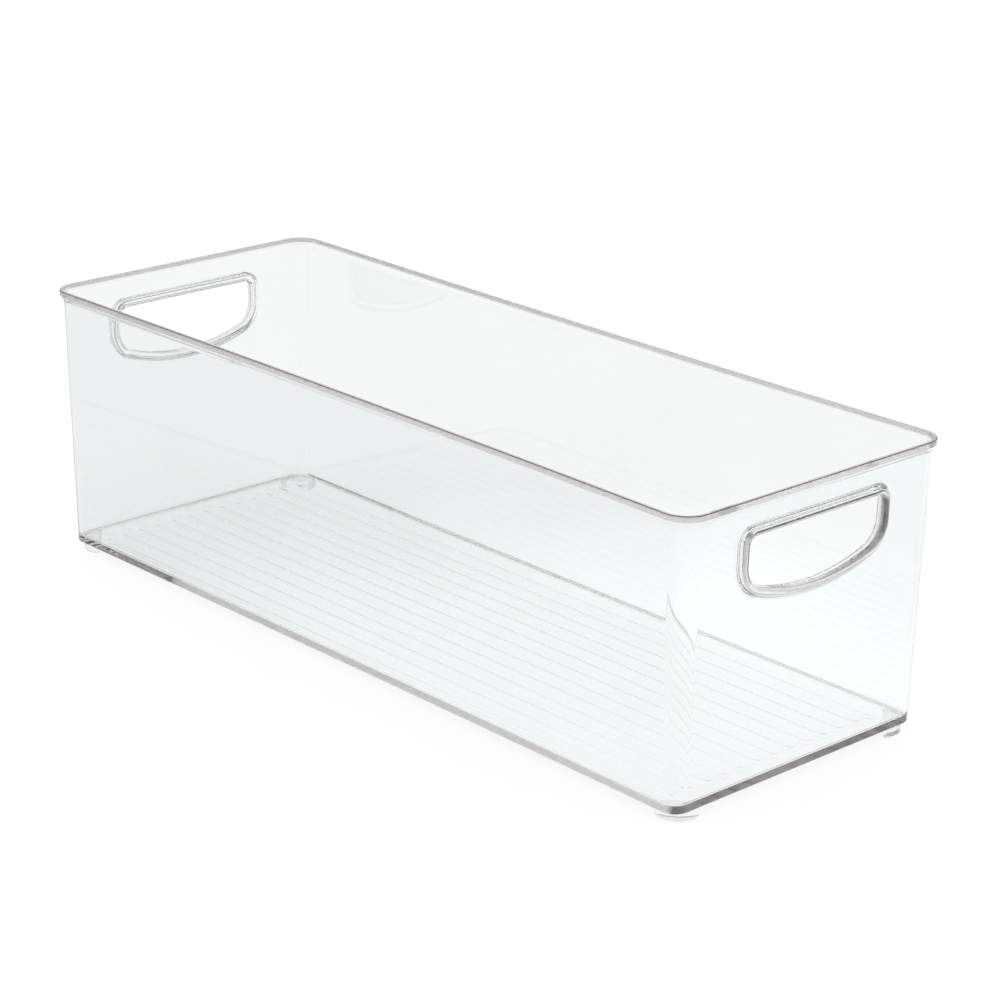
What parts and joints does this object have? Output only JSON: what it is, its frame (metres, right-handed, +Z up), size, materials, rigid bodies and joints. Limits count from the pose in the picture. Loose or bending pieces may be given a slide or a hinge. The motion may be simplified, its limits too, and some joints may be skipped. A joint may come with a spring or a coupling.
{
  "type": "fridge bin",
  "caption": "Long clear open-topped fridge and pantry bin with a square-edged rim bead, a D-shaped lipped pull opening in each end wall, a ribbed floor and clear corner pads.",
  "frame": {"origin": "centre of the footprint, on the surface that the pads stand on", "axes": "+X along the long side towards one pull opening, +Y across to the back wall, +Z up"},
  "size_m": [0.4068, 0.15, 0.127],
  "materials": {
    "clear_plastic": "clear polished moulding with a very faint cool tint",
    "clear_pad": "clear soft-touch pad, slightly duller than the tub"
  },
  "bodies": {
    "root": {"tub": "clear_plastic", "foot_front_right": "clear_pad", "foot_back_right": "clear_pad", "foot_back_left": "clear_pad", "foot_front_left": "clear_pad"}
  },
  "joints": []
}
